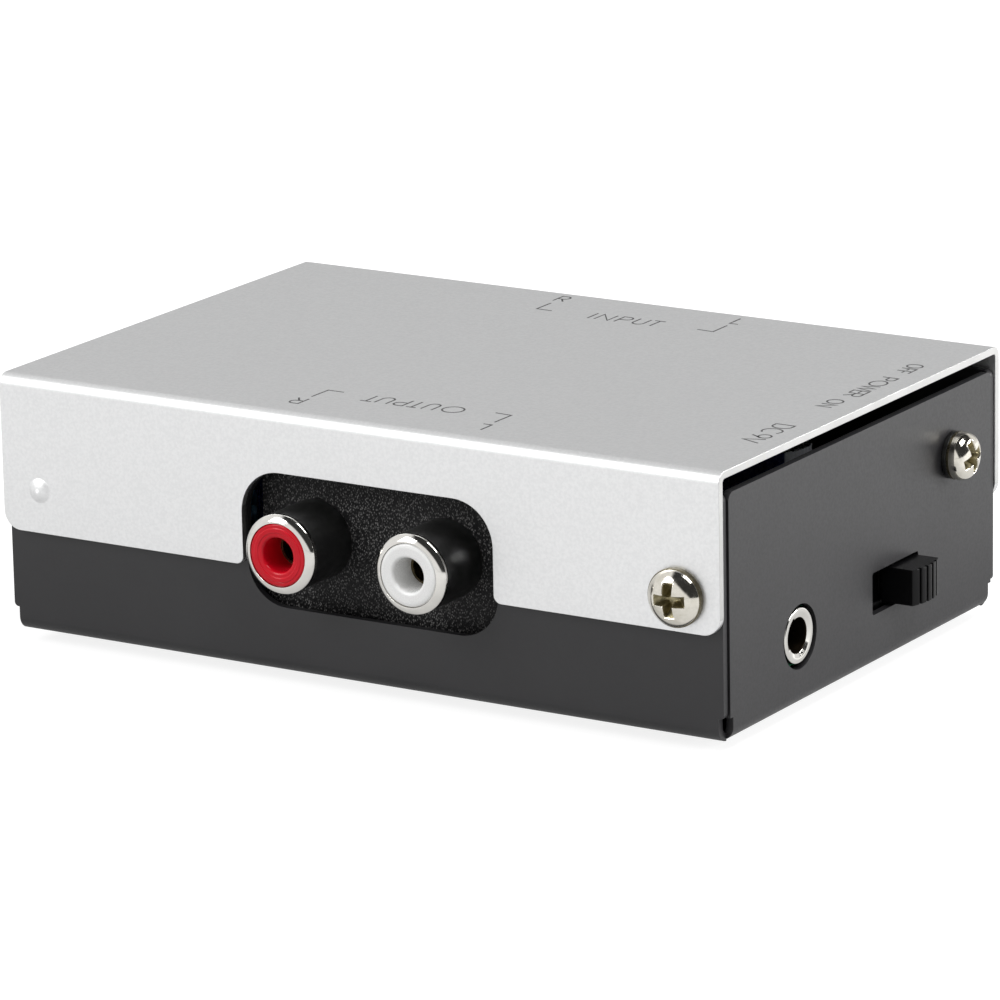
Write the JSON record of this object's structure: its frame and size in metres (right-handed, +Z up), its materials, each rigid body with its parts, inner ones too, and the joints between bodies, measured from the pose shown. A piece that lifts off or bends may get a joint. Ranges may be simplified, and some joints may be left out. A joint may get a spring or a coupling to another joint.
{
  "type": "phono preamp",
  "caption": "Small sheet-metal phono preamp: silver cover over a black tray, RCA jack pairs front and rear, power inlet, slide switch and ground screw on one side.",
  "frame": {"origin": "centre of the plane that the four rubber feet rest on", "axes": "+X out of the side with the power inlet, switch and ground screw, along the case's length; +Y out of the rear with the input jacks; +Z up"},
  "size_m": [0.0891, 0.0676, 0.0292],
  "materials": {
    "black_paint": "satin powder coat",
    "silver_sheet": "satin",
    "nickel_screw": "nickel plated, polished",
    "plain_steel": "zinc plated",
    "dark_washer": "blackened",
    "black_rubber": "matte",
    "board_green": "solder mask",
    "block_plastic": "leather grain",
    "nickel_plate": "polished nickel",
    "red_plastic": "semi-gloss",
    "white_plastic": "semi-gloss",
    "contact_metal": "bright",
    "inlet_plastic": "matte",
    "tinned_lead": "tinned",
    "switch_steel": "tinned",
    "wafer_board": "phenolic",
    "knob_plastic": "matte",
    "chip_epoxy": "matte",
    "capacitor_sleeve": "shrink sleeve",
    "film_box": "moulded",
    "resistor_lacquer": "lacquer"
  },
  "bodies": {
    "case": {"chassis_tray": "black_paint", "top_cover": "silver_sheet", "cover_screws": "nickel_screw", "cover_nuts": "plain_steel", "ground_nut": "plain_steel", "rubber_feet": "black_rubber", "circuit_board": "board_green", "board_standoffs": "plain_steel", "board_screws": "plain_steel", "output_jack_block": "block_plastic", "output_shell_right": "nickel_plate", "output_shell_left": "nickel_plate", "output_insert_right": "red_plastic", "output_insert_left": "white_plastic", "output_contact_right": "contact_metal", "output_contact_left": "contact_metal", "input_jack_block": "block_plastic", "input_shell_right": "nickel_plate", "input_shell_left": "nickel_plate", "input_insert_right": "red_plastic", "input_insert_left": "white_plastic", "input_contact_right": "contact_metal", "input_contact_left": "contact_metal", "power_inlet_body": "inlet_plastic", "power_inlet_bushing": "nickel_plate", "power_inlet_contacts": "tinned_lead", "switch_frame": "switch_steel", "switch_wafer": "wafer_board", "switch_contacts": "tinned_lead", "amplifier_chips": "chip_epoxy", "chip_leads": "tinned_lead", "small_capacitors": "capacitor_sleeve", "reservoir_capacitor": "capacitor_sleeve", "film_capacitors": "film_box", "resistors": "resistor_lacquer", "resistor_leads": "tinned_lead", "protection_diode": "chip_epoxy", "diode_leads": "tinned_lead", "voltage_regulator": "chip_epoxy", "regulator_leads": "tinned_lead"},
    "knob": {"switch_knob": "knob_plastic", "switch_clip": "contact_metal"},
    "clamp": {"ground_washer": "dark_washer"},
    "screw": {"ground_screw": "nickel_screw"}
  },
  "joints": [
    {"name": "power_switch", "type": "slide", "parent": "case", "child": "knob", "axis": [0, -1, 0], "range_m": [0, 0.0036]},
    {"name": "ground_screw_lift", "type": "slide", "parent": "case", "child": "clamp", "axis": [1, 0, 0], "range_m": [0, 0.0015]},
    {"name": "ground_screw_turn", "type": "hinge", "parent": "clamp", "child": "screw", "pos_m": [0.0436, 0.0188, 0.01985], "axis": [1, 0, 0], "range_deg": [0, 1080]}
  ],
  "couplings": [
    {"joint": "ground_screw_turn", "follows": "ground_screw_lift", "rad_per_m": 12566}
  ]
}
